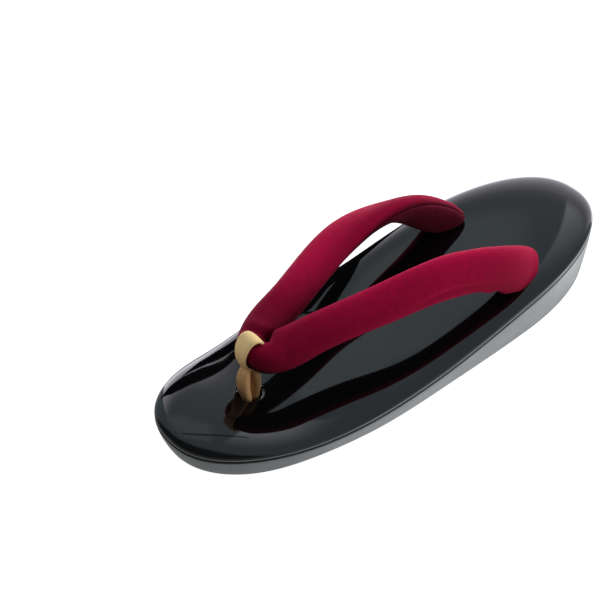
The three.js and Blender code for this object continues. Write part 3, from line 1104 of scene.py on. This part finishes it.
class ZORI_OT_stage(bpy.types.Operator):
    """Sets the pale floor, the studio's cards and light, and the camera"""

    bl_idname = "zori.stage"
    bl_label = "Stage"

    def execute(self, context):
        studio = context.scene.zori_studio
        self.make_floor(studio)
        self.hang_glow_sheet(studio)
        self.hang_flags()
        self.light_surround(context.scene, studio)
        self.hang_lamps(studio)
        self.place_camera(context.scene)
        context.scene.view_settings.view_transform = "Standard"
        return {"FINISHED"}

    @staticmethod
    def put_on_stage(piece, name, material, *rays):
        """Finishes a piece of the stage that only some kinds of rays see."""
        piece.name = piece.data.name = name
        piece.data.materials.append(material)
        for kind in ("camera", "diffuse", "glossy", "transmission", "shadow"):
            setattr(piece, f"visible_{kind}", kind in rays)

    def lay_plane(self, name, material, height, *rays):
        deselect_all()
        bpy.ops.mesh.primitive_plane_add(size=FLOOR_SIZE * MM, location=(0.0, 0.0, height * MM))
        self.put_on_stage(bpy.context.object, name, material, *rays)

    def make_floor(self, studio):
        """Pale floor for the camera, and under it a sheet whose glow falls off round the sandal."""
        pale = material_nodes("pale_floor").surface(
            Base_Color=FLOOR_GREY,
            Roughness=0.95,
            Specular_IOR_Level=0.0,
            Emission_Color=(1, 1, 1, 1),
            Emission_Strength=studio.floor,
        )
        self.lay_plane("pale_floor", pale, 0.0, "camera")
        nodes = material_nodes("bounce_floor")
        x, y, _ = nodes.millimetres(nodes.object_places())
        glow = BOUNCE_EVERYWHERE + nodes.step(BOUNCE_SLANT * y - x, *BOUNCE_BEHIND)
        for zone in BOUNCE_ZONES:
            glow = glow + nodes.plateau(x, *zone["x"]) * nodes.plateau(y, *zone["y"]) * zone["glow"]
        light = nodes.node("ShaderNodeEmission", None, {"Strength": glow * studio.bounce})
        self.lay_plane("bounce_floor", nodes.material(light), BOUNCE_HEIGHT, "diffuse", "glossy")

    def hang_glow_sheet(self, studio):
        """Curved white sheet behind the heel, brightest near the floor and clear at its top edge."""
        deselect_all()
        x, y = GLOW_SHEET["centre"]
        height = GLOW_SHEET["height"]
        bpy.ops.mesh.primitive_cylinder_add(
            vertices=GLOW_SHEET["sides"],
            radius=GLOW_SHEET["radius"] * MM,
            depth=height * MM,
            end_fill_type="NOTHING",
            location=(x * MM, y * MM, height / 2 * MM),
        )
        sheet = bpy.context.object
        bpy.ops.object.mode_set(mode="EDIT")
        bpy.ops.mesh.select_all(action="DESELECT")
        mesh = bmesh.from_edit_mesh(sheet.data)
        for face in mesh.faces:
            middle = face.calc_center_median()
            turn = math.degrees(math.atan2(middle.y, middle.x)) % 360
            face.select_set(not GLOW_SHEET["from"] < turn < GLOW_SHEET["to"])
        bpy.ops.mesh.delete(type="FACE")
        bpy.ops.object.mode_set(mode="OBJECT")
        nodes = material_nodes("glow_sheet")
        _, _, z = nodes.millimetres(nodes.object_places())
        share = z / height + 0.5
        stops = [(place, tone(GLOW_TINT, glow)) for place, glow in GLOW_BY_HEIGHT]
        sockets = {"Color": nodes.ramp(share, *stops), "Strength": studio.glow}
        light = nodes.node("ShaderNodeEmission", None, sockets)
        clear = nodes.node("ShaderNodeBsdfTransparent")
        faded = nodes.mixed_shader(nodes.step(share, *GLOW_FADE), light, clear)
        self.put_on_stage(sheet, "glow_sheet", nodes.material(faded), "glossy")

    def hang_flags(self):
        """Dark cards beside the far side and over the toe."""
        dark = material_nodes("dark_flag").surface(
            Base_Color=FLAG_BLACK, Roughness=1.0, Specular_IOR_Level=0.0
        )
        for name, x, rows in (
            ("low_flag", LOW_FLAG_X, LOW_FLAG),
            ("arch_flag", ARCH_FLAG_X, ARCH_FLAG),
        ):
            bottom = [(x, y, low) for y, low, _ in rows]
            top = [(x, y, high) for y, _, high in rows]
            self.hang_card(name, bottom, top, dark)
        nodes = material_nodes("grey_flag")
        clear = nodes.node("ShaderNodeBsdfTransparent")
        black = nodes.node("ShaderNodeBsdfDiffuse", None, {"Color": FLAG_BLACK})
        grey = nodes.material(nodes.mixed_shader(ROD_FLAG["darkness"], clear, black))
        half = ROD_FLAG["width"] / 2
        edges = [[(x + shift, y, z) for x, y, z in ROD_FLAG["ends"]] for shift in (-half, half)]
        self.hang_card("rod_flag", *edges, grey)

    def hang_card(self, name, first_edge, second_edge, material):
        deselect_all()
        bpy.ops.mesh.primitive_grid_add(x_subdivisions=len(first_edge) - 1, y_subdivisions=1, size=MM)
        card = bpy.context.object
        for point, place in zip(card.data.vertices, (*first_edge, *second_edge)):
            point.co = [MM * c for c in place]
        self.put_on_stage(card, name, material, "glossy")

    @staticmethod
    def light_surround(scene, studio):
        """Soft sky, dim behind the camera, with a pale patch and a tall panel behind the heel."""
        scene.world = bpy.data.worlds.new("studio")
        nodes = Nodes(scene.world)
        x, y, z = nodes.parts(nodes.node("ShaderNodeTexCoord", output="Generated"))
        degree = 180 / math.pi
        turn = nodes.maths("ARCTAN2", y, x) * degree
        rise = nodes.maths("ARCSINE", z) * degree
        far_side = nodes.maths("MAXIMUM", 0.0 - x, 0.0)
        lit = nodes.step(y + SKY["far_side"] * far_side, *SKY["lit_from"])
        patch = nodes.plateau(turn, *PATCH["turn"]) * nodes.plateau(rise, *PATCH["rise"])
        panel = nodes.span(turn, *PANEL["turn"]) ** PANEL["turn_power"]
        panel = panel * (1 - nodes.step(turn, *PANEL["edge"]))
        panel = panel * (1 - nodes.span(rise, *PANEL["rise"])) ** PANEL["rise_power"]
        glow = SKY["dim"] + lit * SKY["lit"] + patch * PATCH["glow"] + panel * PANEL["glow"]
        tint = nodes.mixed(panel, SKY["tint"], PANEL["tint"])
        sockets = {"Color": tint, "Strength": glow * studio.sky}
        light = nodes.node("ShaderNodeBackground", None, sockets)
        nodes.node("ShaderNodeOutputWorld", None, {"Surface": light})

    @staticmethod
    def hang_lamps(studio):
        for name, settings in LAMPS.items():
            deselect_all()
            place, aim = Vector(settings["place"]) * MM, Vector(settings["aim"]) * MM
            turn = (aim - place).to_track_quat("-Z", "Y").to_euler()
            bpy.ops.object.light_add(type="AREA", location=place, rotation=turn)
            lamp = bpy.context.object
            lamp.name = name
            lamp.data.shape = "DISK"
            lamp.data.size = settings["size"] * MM
            lamp.data.spread = math.radians(settings["spread"])
            lamp.data.energy = getattr(studio, name)
            lamp.visible_glossy = False

    @staticmethod
    def place_camera(scene):
        turn = (math.radians(90 - CAMERA_ELEVATION), 0.0, math.radians(CAMERA_AZIMUTH))
        bpy.ops.object.camera_add(location=[MM * c for c in CAMERA_PLACE], rotation=turn)
        scene.camera = bpy.context.object
        scene.camera.data.lens = CAMERA_LENS
        scene.camera.data.clip_start = CAMERA_NEAR * MM


class ZORI_PT_sidebar(bpy.types.Panel):
    """Steps and settings of the sandal"""

    bl_idname = "ZORI_PT_sidebar"
    bl_label = "Zori Sandal"
    bl_space_type = "VIEW_3D"
    bl_region_type = "UI"
    bl_category = "Zori"

    def draw(self, context):
        for step in STEPS:
            self.layout.operator(step.bl_idname)
        for group in (context.scene.zori_colours, context.scene.zori_studio):
            for name in group.__annotations__:
                self.layout.prop(group, name)


STEPS = (ZORI_OT_sole, ZORI_OT_footbed, ZORI_OT_strap, ZORI_OT_toe_thong, ZORI_OT_stage)
CLASSES = (ZoriColours, ZoriStudio, *STEPS, ZORI_PT_sidebar)


def register():
    for made in CLASSES:
        bpy.utils.register_class(made)
    bpy.types.Scene.zori_colours = PointerProperty(type=ZoriColours)
    bpy.types.Scene.zori_studio = PointerProperty(type=ZoriStudio)


def unregister():
    del bpy.types.Scene.zori_studio
    del bpy.types.Scene.zori_colours
    for made in reversed(CLASSES):
        bpy.utils.unregister_class(made)


def main():
    register()
    bpy.ops.zori.sole()
    bpy.ops.zori.footbed()
    bpy.ops.zori.strap()
    bpy.ops.zori.toe_thong()
    bpy.ops.zori.stage()


if __name__ == "__main__":
    main()
